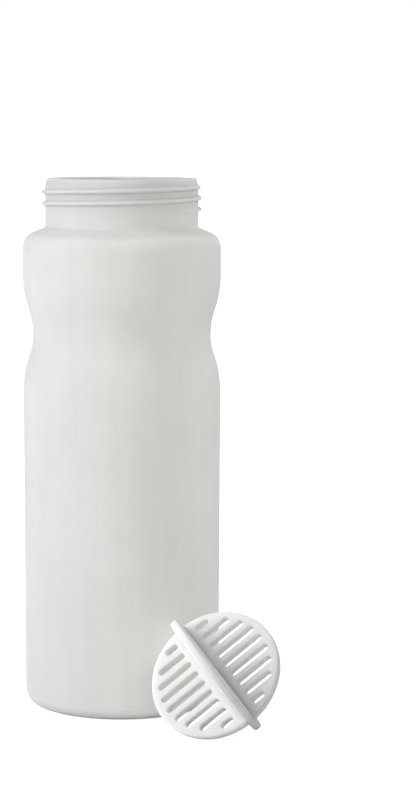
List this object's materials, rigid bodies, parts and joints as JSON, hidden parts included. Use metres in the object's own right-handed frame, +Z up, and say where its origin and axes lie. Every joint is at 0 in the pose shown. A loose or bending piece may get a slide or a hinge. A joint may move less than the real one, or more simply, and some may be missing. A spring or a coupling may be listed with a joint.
{
  "type": "protein shaker bottle",
  "caption": "Waisted shaker bottle with an open threaded neck, a loose mixing insert of crossed slotted discs leaning on it, and a flip-top screw lid set down behind it.",
  "frame": {"origin": "centre of the ring that the bottle stands on, in the plane of the table", "axes": "+Z up along the bottle's axis and out of its mouth; -Y is the front, with the mixing insert at +X, -Y; the lid stands at +Y"},
  "size_m": [0.0932, 0.1839, 0.1968],
  "materials": {
    "milky_plastic": "milky, faintly frosted blow-moulded polypropylene",
    "insert_plastic": "white satin injection-moulded polypropylene",
    "lid_plastic": "white satin injection-moulded polypropylene",
    "silicone": "soft translucent silicone",
    "pin_steel": "drawn stainless steel wire"
  },
  "bodies": {
    "bottle": {"bottle_body": "milky_plastic"},
    "insert": {"mixing_disc_a": "insert_plastic", "mixing_disc_b": "insert_plastic"},
    "lid": {"lid_shell": "lid_plastic", "lid_seal_ring": "silicone", "hinge_pin": "pin_steel"},
    "cap": {"flip_cap": "lid_plastic", "spout_seal": "silicone"}
  },
  "joints": [
    {"name": "insert_slide", "type": "slide", "parent": "bottle", "child": "insert", "axis": [0.3355, -0.4974, 0.8], "range_m": [0, 0.06]},
    {"name": "lid_lift", "type": "slide", "parent": "bottle", "child": "lid", "axis": [0, 0, 1], "range_m": [0, 0.2]},
    {"name": "flip_hinge", "type": "hinge", "parent": "lid", "child": "cap", "pos_m": [0, 0.104, 0.0282], "axis": [-1, 0, 0], "range_deg": [0, 170]}
  ]
}
